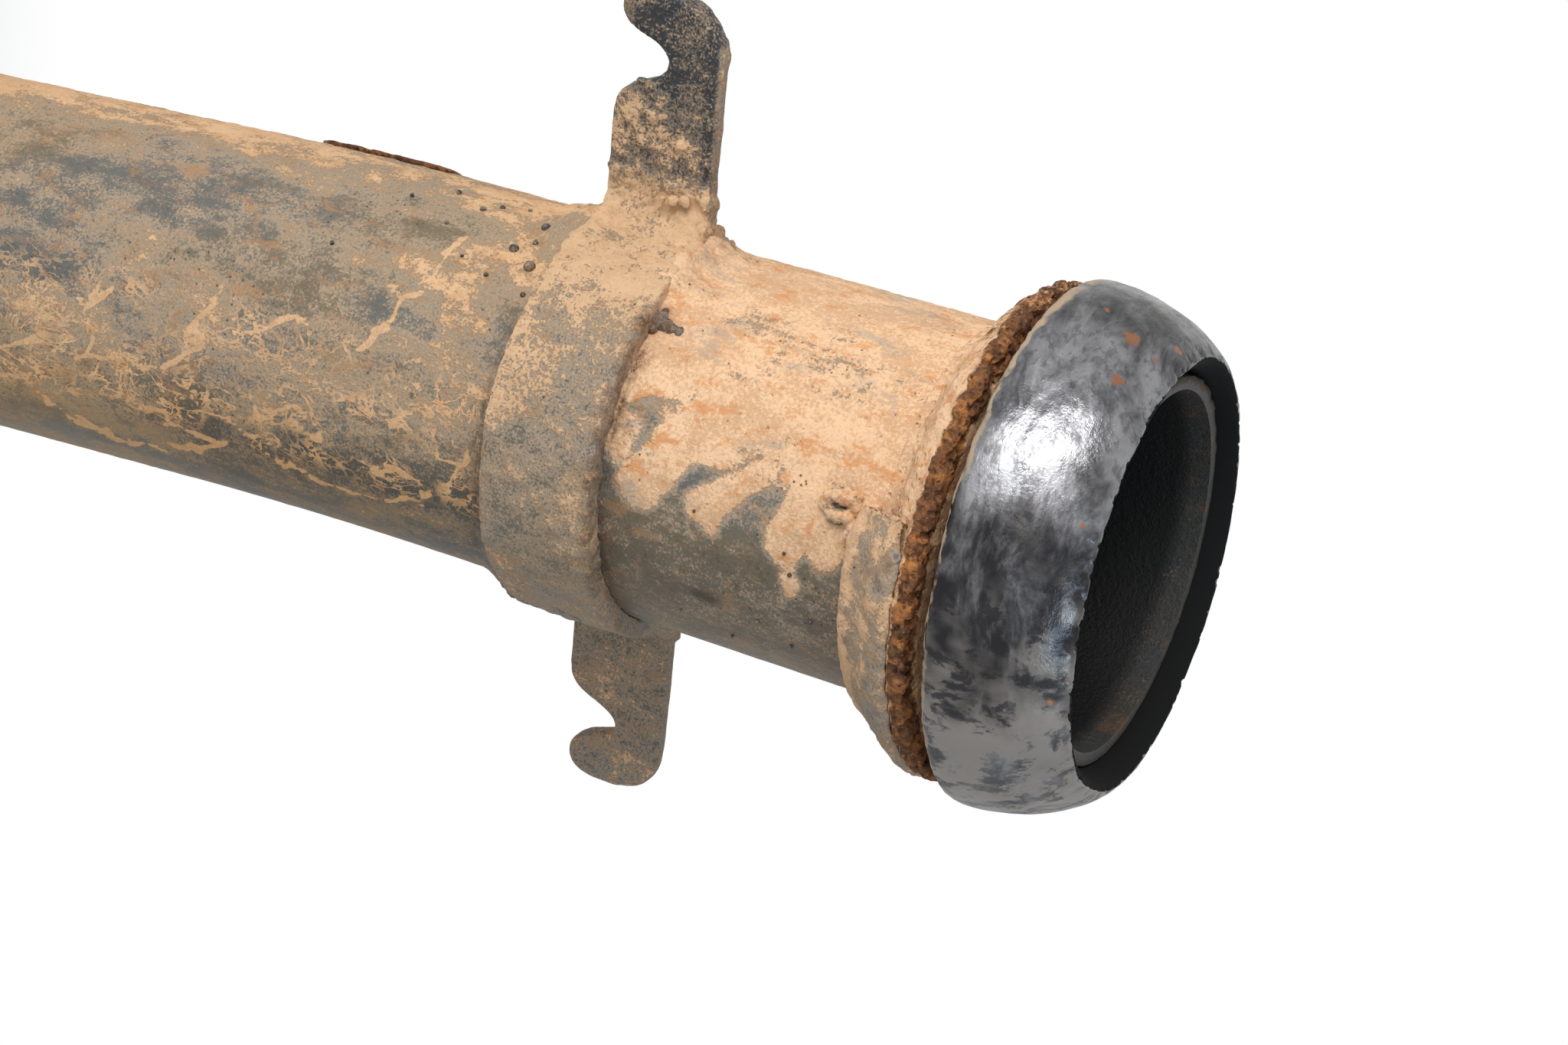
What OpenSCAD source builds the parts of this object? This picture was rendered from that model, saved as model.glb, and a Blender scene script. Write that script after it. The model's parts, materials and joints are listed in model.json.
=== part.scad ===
// End of a small exhaust pipe: a lightly bent steel tube with a donut gasket
// on its mouth, a flared stop ring behind it, a collar saddle under the ring
// and a saddle bracket with two spring hooks.
// The pipe stands on its plain cut end. The origin is the centre of that end,
// +Z runs up the straight inlet, and both hooks lie in the XZ plane.

/* [Tube] */
// Outside diameter of the tube
tube_d = 44.45; // [38:0.05:54]
// Wall thickness of the tube
wall = 1.5; // [1.2:0.1:2.5]
// Length from the cut end to the middle of the bend
inlet_len = 203; // [120:1:600]
// Length from the middle of the bend to the mouth
outlet_len = 102; // [95:0.5:160]
// Angle of the bend
bend_angle = 3; // [1:0.5:8]
// Compass direction the outlet leans to
bend_heading = 318; // [0:1:359]
// Radius of the bend at the middle of the tube
bend_r = 800; // [300:10:1000]

/* [Hook bracket] */
// Thickness of the bracket's sheet
sheet = 2.4; // [2:0.1:3.5]
// Width of the bracket along the tube
bracket_w = 14.2; // [13.5:0.1:18]
// From the mouth of the tube down to the bracket's upper edge
bracket_drop = 55.9; // [45:0.1:70]
// Inside radius where the saddle turns out into a hook ear
ear_bend_r = 4.2; // [3:0.1:6]
// How far the hooks' lower faces lie past the tube's middle plane
ear_offset = 0.3; // [0:0.1:2]
// Reach of each hook from the tube's surface
hook_reach = 29.1; // [27:0.1:36]
// Reach of the shoulder that the notch starts from
shoulder_reach = 17.1; // [15:0.1:17.5]
// Rounding of the shoulder
shoulder_r = 1.6; // [1:0.1:2.5]
// Radius of the hook's round back
hook_back_r = 8.1; // [7.5:0.1:9]
// Radius of the finger's tip
finger_r = 2.3; // [1.8:0.1:2.6]
// Diameter of the spring wire that the notch takes
wire_d = 3.5; // [3:0.1:4.5]
// Depth of the notch
notch_depth = 7.1; // [6.5:0.1:8]

/* [Stop ring] */
// Outside diameter of the stop ring
ring_d = 57.8; // [54:0.1:75]
// Thickness of the ring's lip
ring_lip = 2.9; // [2:0.1:4]
// Length of the flare below the lip
flare_len = 5.8; // [4:0.1:8]
// From the mouth of the tube down to the ring's upper face
ring_drop = 13.6; // [12:0.1:20]

/* [Collar saddle] */
// Thickness of the collar's sheet
collar_sheet = 1.9; // [1.2:0.1:2.5]
// Length of the collar's foot on the tube, below the flare
collar_foot = 2.3; // [1.5:0.1:6]
// Arc that the collar covers
collar_arc = 178; // [90:1:240]
// Compass direction of the collar's first end
collar_start = 245; // [0:1:359]

/* [Gasket] */
// Outside diameter of the gasket
gasket_d = 61; // [56:0.1:80]
// Length of the gasket along the tube
gasket_len = 15; // [13:0.1:20]
// Radius of the rounded outer face in section
gasket_crown_r = 18; // [17:0.5:20]
// Width of the gasket's mouth over its bore
mouth_flare = 1.75; // [1:0.05:2.5]
// Depth of the flare in the gasket's mouth
mouth_depth = 2.5; // [1:0.1:4]
// Radial clearance of the gasket on the tube
gasket_clearance = 0.35; // [0.25:0.05:0.6]
// Gap to the stop ring on the gasket's middle line
gasket_gap = 1; // [0.9:0.1:2]
// Angle that the gasket sits cocked
gasket_tilt = 1.5; // [0:0.1:1.5]
// Compass direction the gasket leans to
gasket_heading = 152; // [0:1:359]

/* [Patch] */
// Length of the welded patch along the tube
patch_len = 19.6; // [10:0.1:30]
// Thickness of the patch
patch_sheet = 1; // [0.8:0.1:2]
// Arc that the patch covers
patch_arc = 40; // [20:1:60]
// Compass direction of the patch's middle
patch_heading = 136; // [0:1:359]
// How far the patch's middle sits below the middle of the bend
patch_drop = 3; // [0:0.1:5]

/* [Hidden] */
$fn = 96;

// What is wrapped round the tube stands this far off it
seat = 0.05;
tube_r = tube_d / 2;
bore_r = tube_r - wall;
seat_r = tube_r + seat;
// Straight tube that the bend takes the place of on each side of its middle
bend_run = bend_r * tan(bend_angle / 2);

// Heights along the outlet, from the middle of the bend
bracket_bottom = outlet_len - bracket_drop - bracket_w;
ring_top = outlet_len - ring_drop;
lip_bottom = ring_top - ring_lip;
flare_bottom = lip_bottom - flare_len;
collar_bottom = flare_bottom - collar_foot;

// Moves what is drawn along +Z onto the leaning outlet
module on_outlet() {
    translate([0, 0, inlet_len])
        rotate(a = bend_angle, v = [-sin(bend_heading), cos(bend_heading), 0])
            children();
}

// Moves the bend's own frame into place. In that frame the tube's centre line
// crosses +X at bend_r, square to it, and the outlet lies on the -Y side.
module on_bend() {
    rotate([0, 0, bend_heading])
        translate([bend_r, 0, inlet_len - bend_run])
            rotate([90, 0, 0])
                rotate([0, 0, 180 - bend_angle / 2])
                    children();
}

module tube_section() {
    difference() {
        circle(r = tube_r);
        circle(r = bore_r);
    }
}

// Half of the tube, from the middle of the bend to the end of one straight
// stretch, cut square at the middle so that its mirror image meets it exactly
module half_tube(straight) {
    reach = straight + 2 * bend_run;
    intersection() {
        rotate([0, 0, -bend_angle / 2])
            union() {
                translate([bend_r, 0, 0])
                    rotate([90, 0, 0])
                        linear_extrude(height = straight)
                            tube_section();
                rotate_extrude(angle = bend_angle * 0.6)
                    translate([bend_r, 0])
                        tube_section();
            }
        translate([bend_r - 2 * tube_d, -reach, -tube_d])
            cube([4 * tube_d, reach, 2 * tube_d]);
    }
}

module tube() {
    color("tan")
    on_bend()
    union() {
        half_tube(outlet_len - bend_run);
        mirror([0, 1, 0])
            half_tube(inlet_len - bend_run);
    }
}

saddle_out = seat_r + sheet;
// Each ear's bend is a ring about this point, tangent to the saddle and the ear
ear_bend_y = ear_offset - ear_bend_r;
ear_bend_x = sqrt(pow(saddle_out + ear_bend_r, 2) - pow(ear_bend_y, 2));
hook_tip = tube_r + hook_reach;
shoulder_x = tube_r + shoulder_reach;

// One side of the bracket's section: a quarter of the saddle and the bend out
module saddle_half() {
    far = 3 * saddle_out;
    // Both stretches end on the same line, from the middle to the ring's point
    intersection() {
        difference() {
            circle(r = saddle_out);
            circle(r = seat_r);
        }
        polygon([
            [ear_bend_x, ear_bend_y],
            [0, 0],
            [0, -far],
            [far, -far],
            [far, ear_bend_y]
        ]);
    }
    intersection() {
        translate([ear_bend_x, ear_bend_y])
            difference() {
                circle(r = ear_bend_r + sheet);
                circle(r = ear_bend_r);
            }
        polygon([[ear_bend_x, ear_bend_y], [0, 0], [0, tube_r], [ear_bend_x, tube_r]]);
    }
}

// The room that the spring's wire goes into, narrowing to the wire's size
module notch_outline() {
    below = -1;
    finger_x = hook_tip - 2 * finger_r;
    seat_x = (shoulder_x + finger_x) / 2;
    seat_y = notch_depth - wire_d / 2;
    translate([seat_x, seat_y])
        circle(d = wire_d);
    polygon([
        [shoulder_x, below],
        [shoulder_x, shoulder_r],
        [seat_x - wire_d / 2, seat_y],
        [seat_x + wire_d / 2, seat_y],
        [finger_x, finger_r],
        [finger_x, below]
    ]);
}

// Outline of one hook. X is the reach, and Y runs up the tube.
module hook_outline() {
    back_x = hook_tip - hook_back_r;
    corner_x = shoulder_x - shoulder_r;
    difference() {
        union() {
            translate([ear_bend_x, 0])
                square([corner_x - ear_bend_x, bracket_w]);
            translate([corner_x, shoulder_r])
                circle(r = shoulder_r);
            translate([corner_x, shoulder_r])
                square([back_x - corner_x, bracket_w - shoulder_r]);
            translate([back_x, bracket_w - hook_back_r])
                intersection() {
                    circle(r = hook_back_r);
                    square(hook_back_r);
                }
            translate([back_x, finger_r])
                square([hook_back_r, bracket_w - hook_back_r - finger_r]);
            translate([hook_tip - finger_r, finger_r])
                circle(r = finger_r);
        }
        notch_outline();
    }
}

module hook_bracket() {
    color("slategray")
    on_outlet()
    translate([0, 0, bracket_bottom])
    union() {
        linear_extrude(height = bracket_w) {
            saddle_half();
            mirror([1, 0])
                saddle_half();
        }
        for (side = [0, 1])
            mirror([side, 0, 0])
                translate([0, ear_offset + sheet, 0])
                    rotate([90, 0, 0])
                        linear_extrude(height = sheet)
                            hook_outline();
    }
}

ring_r = ring_d / 2;
edge = 0.5;

module stop_ring() {
    color("sienna")
    on_outlet()
    rotate_extrude()
        polygon([
            [seat_r, flare_bottom],
            [seat_r + edge, flare_bottom],
            [ring_r - edge, lip_bottom],
            [ring_r, lip_bottom + edge],
            [ring_r, ring_top - edge],
            [ring_r - edge, ring_top],
            [seat_r, ring_top]
        ]);
}

module collar_saddle() {
    foot_r = seat_r + collar_sheet;
    color("darkkhaki")
    on_outlet()
    rotate([0, 0, collar_start])
    rotate_extrude(angle = collar_arc)
        polygon([
            [seat_r, collar_bottom],
            [foot_r - edge, collar_bottom],
            [foot_r, collar_bottom + edge],
            [foot_r + edge, flare_bottom - edge],
            [ring_r - edge, lip_bottom - collar_sheet],
            [ring_r, lip_bottom - edge],
            [ring_r - edge, lip_bottom - seat],
            [seat_r + edge, flare_bottom - seat],
            [seat_r, flare_bottom - seat]
        ]);
}

module gasket() {
    bore = tube_r + gasket_clearance;
    outer = gasket_d / 2;
    // The rounded face is widest a little above the back edge
    crown_z = gasket_len / 8;
    lean = [-sin(gasket_heading), cos(gasket_heading), 0];
    color("dimgray")
    on_outlet()
    translate([0, 0, ring_top + gasket_gap + gasket_len / 2])
    rotate(a = gasket_tilt, v = lean)
    translate([0, 0, -gasket_len / 2])
    rotate_extrude()
        difference() {
            intersection() {
                translate([bore, 0])
                    square([outer - bore, gasket_len]);
                translate([outer - gasket_crown_r, crown_z])
                    circle(r = gasket_crown_r);
            }
            polygon([
                [outer - edge, 0],
                [outer + 1, edge + 1],
                [outer + 1, 0]
            ]);
            polygon([
                [bore, gasket_len - mouth_depth],
                [bore + mouth_flare, gasket_len],
                [bore, gasket_len]
            ]);
        }
}

module patch_plate() {
    // On the bend's middle line, a length along it is this many degrees per mm
    per_mm = 180 / PI / bend_r;
    // The section's +X points away from the side the outlet leans to
    first_edge = patch_heading - bend_heading - 180 - patch_arc / 2;
    reach = 2 * tube_r;
    color("maroon")
    on_bend()
    rotate([0, 0, (patch_drop - patch_len / 2) * per_mm])
    rotate_extrude(angle = patch_len * per_mm)
        translate([bend_r, 0])
            intersection() {
                difference() {
                    circle(r = seat_r + patch_sheet);
                    circle(r = seat_r);
                }
                polygon([
                    [0, 0],
                    reach * [cos(first_edge), sin(first_edge)],
                    reach * [cos(first_edge + patch_arc), sin(first_edge + patch_arc)]
                ]);
            }
}

tube();
hook_bracket();
stop_ring();
collar_saddle();
gasket();
patch_plate();
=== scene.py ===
# %% [markdown]
# # Muddy exhaust pipe end with a donut gasket and spring hooks
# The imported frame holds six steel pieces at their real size: a slightly bent
# tube, a saddle bracket with two hooks, a flared stop ring, a collar, a donut
# gasket and a small welded patch. This lesson models each of them again with
# its dents, rust and dried mud, in the same place. The pipe stands on its
# plain cut end, and +Z runs up the straight inlet.

import json
import math

import bmesh
import bpy
import numpy as np
from mathutils import Matrix, Vector, noise


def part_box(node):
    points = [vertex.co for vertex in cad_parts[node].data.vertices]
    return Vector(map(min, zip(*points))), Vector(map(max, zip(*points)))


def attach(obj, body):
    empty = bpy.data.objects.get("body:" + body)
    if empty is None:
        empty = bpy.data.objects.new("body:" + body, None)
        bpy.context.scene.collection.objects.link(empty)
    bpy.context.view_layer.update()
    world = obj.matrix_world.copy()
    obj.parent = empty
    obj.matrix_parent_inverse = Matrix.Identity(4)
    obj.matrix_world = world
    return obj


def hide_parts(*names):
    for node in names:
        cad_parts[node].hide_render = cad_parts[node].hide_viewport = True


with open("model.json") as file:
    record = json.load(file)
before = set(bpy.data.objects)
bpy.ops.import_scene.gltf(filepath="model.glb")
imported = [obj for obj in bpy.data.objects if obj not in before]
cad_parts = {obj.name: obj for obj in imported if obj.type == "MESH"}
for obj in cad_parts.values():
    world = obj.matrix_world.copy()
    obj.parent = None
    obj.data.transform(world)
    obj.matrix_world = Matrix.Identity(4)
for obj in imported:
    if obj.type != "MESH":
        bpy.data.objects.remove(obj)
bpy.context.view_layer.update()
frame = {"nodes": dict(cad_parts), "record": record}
MM = 0.001

# %% [markdown]
# ## Two straight lines and a bend
# Nearly everything sits on the leaning outlet, so the outlet gets a frame of
# its own. Its height counts in millimetres from the middle of the bend. A
# piece is modelled upright about the world's Z axis, where turning and
# measuring are easy, and is moved onto the outlet as the last step.

# %% Places and sizes read from the frame
outlet = {m["name"]: m for m in frame["record"]["mounts"]}["outlet_bore"]
out_axis = Vector(outlet["axis"])
mouth = Vector(outlet["pos_m"])
OUTLET_LEN = mouth.x / out_axis.x / MM
bend_middle = mouth - out_axis * OUTLET_LEN * MM
INLET_LEN = bend_middle.z / MM
BEND = math.acos(out_axis.z)
HEADING = math.atan2(out_axis.y, out_axis.x)
lean = Vector((0, 0, 1)).rotation_difference(out_axis).to_matrix().to_4x4()
OUTLET = Matrix.Translation(bend_middle) @ lean
TUBE_R = -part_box("tube")[0].x / MM
BORE_R = outlet["dims"]["r_mm"]


def span(node):
    """Lowest and highest corner of a node in the outlet's frame, in mm."""
    inverse = OUTLET.inverted()
    places = np.array([inverse @ v.co for v in frame["nodes"][node].data.vertices])
    return places.min(0) / MM, places.max(0) / MM


for name in frame["nodes"]:
    low, high = span(name)
    print(name, "from", low.round(1), "to", high.round(1), "mm on the outlet")
print("tube radius", round(TUBE_R, 2), "bore", BORE_R, "outlet", round(OUTLET_LEN, 1))

# %% [markdown]
# ## The camera
# A camera is easiest to place like a person walking round the pipe: a point to
# look at, a compass direction, a height angle, a distance, and last a roll
# about the line of sight. The roll lays the standing pipe across the picture.

# %% Camera
LOOK_AT = Vector((18.0, 14.0, 253.6)) * MM
COMPASS = math.radians(242.33)
HEIGHT_ANGLE = math.radians(22.34)
ROLL = math.radians(-104.24)
DISTANCE = 358.8 * MM
LENS = 66.8

back = Vector((
    math.cos(HEIGHT_ANGLE) * math.cos(COMPASS),
    math.cos(HEIGHT_ANGLE) * math.sin(COMPASS),
    math.sin(HEIGHT_ANGLE),
))
level_right = Vector((0, 0, 1)).cross(back).normalized()
level_up = back.cross(level_right)
camera_up = level_up * math.cos(ROLL) + level_right * math.sin(ROLL)
camera_right = camera_up.cross(back)
scene = bpy.context.scene
camera = bpy.data.objects.new("camera", bpy.data.cameras.new("camera"))
scene.collection.objects.link(camera)
camera.data.lens = LENS
camera.data.sensor_width = 36
camera.data.clip_start = 0.01
turned = Matrix((camera_right, camera_up, back)).transposed().to_4x4()
camera.matrix_world = Matrix.Translation(LOOK_AT + back * DISTANCE) @ turned
scene.camera = camera
print("camera at, mm:", [round(v / MM, 1) for v in camera.matrix_world.translation])

# %% [markdown]
# ## Node helpers
# Every finish here is built from the same few nodes, so each kind gets a short
# method that adds the node, fills its sockets and returns its output. A plain
# number goes straight into a socket, and another node's output gets linked.
# Sizes are in millimetres, because a noise's scale is how many of its lumps
# fit in a metre.

# %% A helper that adds shader nodes
class Nodes:
    """Adds nodes to one tree and gives back their outputs."""

    def __init__(self, tree):
        self.tree = tree

    def fill(self, socket, value):
        """Links another node's output, or sets a number or a colour."""
        if isinstance(value, bpy.types.NodeSocket):
            self.tree.links.new(value, socket)
        else:
            socket.default_value = (*value, 1) if socket.type == "RGBA" else value

    def add(self, kind, inputs, **settings):
        """Adds a node, sets its settings and fills its inputs by name or number."""
        made = self.tree.nodes.new("ShaderNode" + kind)
        for key, value in settings.items():
            setattr(made, key, value)
        for key, value in inputs.items():
            self.fill(made.inputs[key], value)
        return made

    def lumps(self, size, detail=4, rough=0.6, twist=0.0, stretch=None):
        """Cloudy noise from 0 to 1 with lumps of that size in mm."""
        place = self.place
        if stretch:
            stretched = self.add("Mapping", {"Vector": place, "Scale": stretch})
            place = stretched.outputs["Vector"]
        return self.add("TexNoise", {
            "Vector": place,
            "Scale": 1 / (size * MM),
            "Detail": detail,
            "Roughness": rough,
            "Distortion": twist,
        }).outputs["Fac"]

    def pits(self, size, low, high):
        """1 in the middle of each cell of that size in mm, fading to 0 outside."""
        cells = self.add("TexVoronoi", {"Vector": self.place, "Scale": 1 / (size * MM)})
        return self.calc("SUBTRACT", 1.0, self.fade(cells.outputs["Distance"], low, high))

    def fade(self, value, low, high, to_low=0.0, to_high=1.0):
        """Maps low..high smoothly to to_low..to_high and clamps outside."""
        return self.add("MapRange", {
            "Value": value,
            "From Min": low,
            "From Max": high,
            "To Min": to_low,
            "To Max": to_high,
        }, interpolation_type="SMOOTHSTEP").outputs["Result"]

    def calc(self, operation, a, b):
        return self.add("Math", {0: a, 1: b}, operation=operation).outputs[0]

    def plus(self, first, *others):
        for value in others:
            first = self.calc("ADD", first, value)
        return first

    def times(self, a, b):
        return self.calc("MULTIPLY", a, b)

    def most(self, a, b):
        return self.calc("MAXIMUM", a, b)

    def swing(self, value, amount):
        """Turns a noise about one half into one about 0, that many times as wide."""
        return self.times(self.calc("SUBTRACT", value, 0.5), amount)

    def blend(self, share, first, second, way="MIX"):
        """Mixes two colours by a share from 0 to 1."""
        return self.add(
            "Mix", {0: share, 6: first, 7: second},
            data_type="RGBA", blend_type=way,
        ).outputs[2]

    def layers(self, colour, *rows):
        """Lays colours over the first one, in turn, each by its own share."""
        for share, over in rows:
            colour = self.blend(share, colour, over)
        return colour

    def kept(self, name):
        """A number that was stored on the vertices under that name."""
        return self.add("Attribute", {}, attribute_name=name).outputs["Fac"]

    def look(self, name, value):
        """Fills an input of the finish's shader."""
        self.fill(self.shader.inputs[name], value)

    def bump(self, height, depth, strength=1.0):
        """Fine relief too small to model, depth in mm."""
        made = self.add("Bump", {
            "Height": height,
            "Distance": depth * MM,
            "Strength": strength,
        })
        self.look("Normal", made.outputs["Normal"])


def new_finish(name):
    """A new material and its nodes, with the shader and Object coordinates."""
    material = bpy.data.materials.new(name)
    material.use_nodes = True
    n = Nodes(material.node_tree)
    n.shader = n.tree.nodes["Principled BSDF"]
    n.place = n.add("TexCoord", {}).outputs["Object"]
    return material, n


# %% [markdown]
# ## Dried mud on weathered steel
# The finish has four layers: dark blue-grey steel, a thin film of dust that
# speckles it, rust that creeps through, and a tan crust of dried mud. How much
# mud lies where is stored on the vertices as a number called mud, and fine
# noise then frays that border down to single grains. Other stored numbers add
# darker steel and old paint, rust, painted shade in creases and gaps, soot and
# an olive cast in the same way. A piece that lacks one of them reads it as 0.

# %% Colours of mud, dust, rust and steel
MUD_LIGHT = (0.80, 0.53, 0.325)
MUD_DARK = (0.61, 0.375, 0.215)
MUD_DULL = (0.52, 0.34, 0.195)
MUD_ORANGE = (0.62, 0.27, 0.10)
MUD_WIPED = (0.33, 0.30, 0.25)
# Painted shade for pin-size hollows in the mud
MUD_HOLE_SHADE = (0.16, 0.085, 0.04)
DUST = (0.43, 0.33, 0.235)
RUST = (0.20, 0.075, 0.026)
RUST_STAIN = (0.38, 0.20, 0.09)
STEEL_BLUE = (0.122, 0.124, 0.118)
STEEL_DARK = (0.024, 0.025, 0.024)
STEEL_OLIVE = (0.165, 0.130, 0.082)
PAINT = (0.022, 0.026, 0.030)
# Painted shade for creases, seams and gaps
PAINTED_CREASE_SHADE = (0.045, 0.026, 0.016)
SOOT = (0.008, 0.008, 0.008)
OLIVE_CAST = (1.10, 0.99, 0.79)


# %% A function that gives the colour of dried mud
def mud_colour(n, orange):
    """Tan mud with orange stains, and painted shade in a few pin-size hollows."""
    tone = n.lumps(4.5, 7, 0.7, 0.5, (1, 1, 0.55))
    tone = n.plus(tone, n.swing(n.lumps(0.42, 3, 0.75), 1.0))
    stains = n.lumps(2.0, 7, 0.76, 0.3, (1, 1, 0.6))
    # Painted shade: a few pin-size hollows darkened where shade would fall
    hole_shade = n.times(n.pits(1.1, 0.07, 0.20), n.fade(n.lumps(4, 3), 0.50, 0.62))
    return n.layers(
        MUD_DARK, (n.fade(tone, 0.35, 0.60), MUD_LIGHT),
        (n.fade(stains, 0.52, 0.63, 0, orange), MUD_ORANGE), (hole_shade, MUD_HOLE_SHADE),
    )


# %% A function that makes one muddy finish
def muddy_finish(name, film_top, orange, grain, dull):
    """Mud by its most film, orange stain, grain, and dullness where not wiped."""
    material, n = new_finish(name)
    broad = n.lumps(9, 4, 0.6, 0.2, (1, 1, 0.5))
    mid = n.lumps(3.0, 7, 0.75, 0.3, (1, 1, 0.55))
    fine = n.lumps(0.7, 4, 0.8)
    sand = n.lumps(0.30, 2, 0.6)
    amount = n.plus(
        n.kept("mud"), n.swing(broad, 0.7), n.swing(mid, 1.9),
        n.swing(fine, 1.2 * grain), n.swing(sand, grain),
    )
    crust = n.fade(amount, 0.42, 0.68)
    film = n.fade(n.plus(amount, n.swing(sand, 0.7 * grain)), -0.06, 0.46, 0, film_top)

    # Steel under its film of dust, with specks, old paint, stains and pits
    tint = n.fade(n.lumps(15, 3, 0.5, 0, (1, 1, 0.4)), 0.42, 0.62)
    specks = n.fade(n.plus(fine, n.swing(sand, 0.8)), 0.50, 0.62, 0, 0.7 * grain)
    dark = n.kept("dark")
    film = n.times(film, n.fade(dark, 0, 1, 1, 0.55))
    grains = n.fade(n.plus(sand, n.swing(mid, 0.5)), 0.61, 0.70, 0, 0.55 * grain)
    stain = n.fade(n.lumps(3.4, 7, 0.78, 0.5, (1, 1, 0.6)), 0.52, 0.64, 0, 0.6)
    stain = n.times(stain, n.fade(dark, 0, 1, 1, 0.1))
    pits = n.times(n.pits(1.0, 0.08, 0.22), n.fade(broad, 0.50, 0.58, 0, 0.85))
    steel = n.layers(
        STEEL_BLUE, (tint, STEEL_OLIVE), (specks, STEEL_DARK), (dark, PAINT),
        (film, DUST), (grains, MUD_DARK), (stain, RUST_STAIN), (pits, STEEL_DARK),
    )

    # Small tide lines are bands where a noise passes a level. The long ones
    # come from drawn strokes, stored as lines, and fray in the same noises
    tide = 0.0
    for size, twist in ((5.0, 0.8), (3.0, 0.5)):
        level = n.calc("SUBTRACT", n.lumps(size, 5, 0.58, twist, (1, 1, 0.70)), 0.5)
        off = n.plus(n.calc("ABSOLUTE", level, 0.0), n.swing(mid, 0.06))
        tide = n.most(tide, n.fade(off, 0.024, 0.012))
    crust = n.most(crust, n.times(tide, n.kept("tide")))
    frayed = n.plus(n.swing(mid, 1.2), n.swing(fine, 0.9))
    drawn = n.fade(n.plus(n.kept("lines"), frayed), 0.44, 0.60, 0, 0.92)
    crust = n.most(crust, drawn)

    # Wiped streaks let the blue of the steel show through thin mud
    clean = n.kept("wiped")
    wiped = n.fade(n.lumps(5, 6, 0.66, 1.4, (1, 1, 0.35)), 0.53, 0.66, 0, 0.5)
    earth = n.layers(
        mud_colour(n, orange), (n.times(wiped, clean), MUD_WIPED),
        (n.fade(clean, 0, 1, dull, 0), MUD_DULL),
    )
    broken = n.fade(fine, 0.40, 0.58, 0.25, 1)
    # Rust, then painted shade in creases and gaps, both broken by fine noise
    colour = n.layers(
        steel, (crust, earth), (n.times(n.kept("rust"), broken), RUST),
        (n.times(n.kept("crease"), broken), PAINTED_CREASE_SHADE),
    )
    colour = n.blend(n.kept("olive"), colour, OLIVE_CAST, "MULTIPLY")
    n.look("Base Color", n.blend(n.kept("soot"), colour, SOOT))
    n.look("Roughness", n.fade(n.most(crust, film), 0, 1, 0.52, 0.95))
    n.look("Specular IOR Level", 0.28)
    height = n.plus(
        n.times(crust, 0.55), n.times(fine, 0.8), n.times(sand, 0.45), n.times(mid, 0.7)
    )
    n.bump(height, 0.26, 0.8)
    print("finish", name, "with", len(n.tree.nodes), "nodes")
    return material


# %% [markdown]
# ## Rough scaled rust
# The stop ring has rusted through its mud: layers of brown and orange scale
# with near-black pits between them. Two noises of different size pick between
# four rust colours, and the pits sit in the middles of small cells.

# %% A function that makes one rusty finish
def rusty_finish(name, orange):
    material, n = new_finish(name)
    broad = n.lumps(2.4, 7, 0.78, 0.4)
    grit = n.lumps(0.5, 4, 0.7)
    pits = n.pits(0.9, 0.12, 0.4)
    rust = n.layers(
        (0.080, 0.040, 0.024),
        (n.fade(broad, 0.35, 0.62), (0.28, 0.12, 0.05)),
        (n.fade(broad, 0.50, 0.64, 0, orange), (0.50, 0.20, 0.055)),
        (n.fade(grit, 0.58, 0.72, 0, 0.6), (0.42, 0.24, 0.12)),
        (n.times(pits, 0.5), (0.02, 0.012, 0.008)),
    )
    mud = n.plus(n.kept("mud"), n.swing(grit, 0.7), n.swing(broad, 0.9))
    n.look("Base Color", n.blend(n.fade(mud, 0.42, 0.68), rust, mud_colour(n, 0.9)))
    n.look("Roughness", 0.9)
    n.look("Specular IOR Level", 0.2)
    n.bump(n.calc("SUBTRACT", n.plus(grit, broad), pits), 0.3, 0.8)
    print("finish", name, "with", len(n.tree.nodes), "nodes")
    return material


# %% [markdown]
# ## Smeared gasket metal
# A donut gasket is pressed wire and graphite, polished by the flange it seals
# on. It shines like dark gunmetal where it rubbed, is matte where it did not,
# and black with soot round the mouth. Its colour also holds painted reflection:
# lighter where the lamp's highlight falls, darker below it, and lighter again
# on the matte lower side as a painted reflection of the floor. So this finish
# is a metal whose colour and roughness both follow streaks that run from the
# back edge to the mouth.

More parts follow.
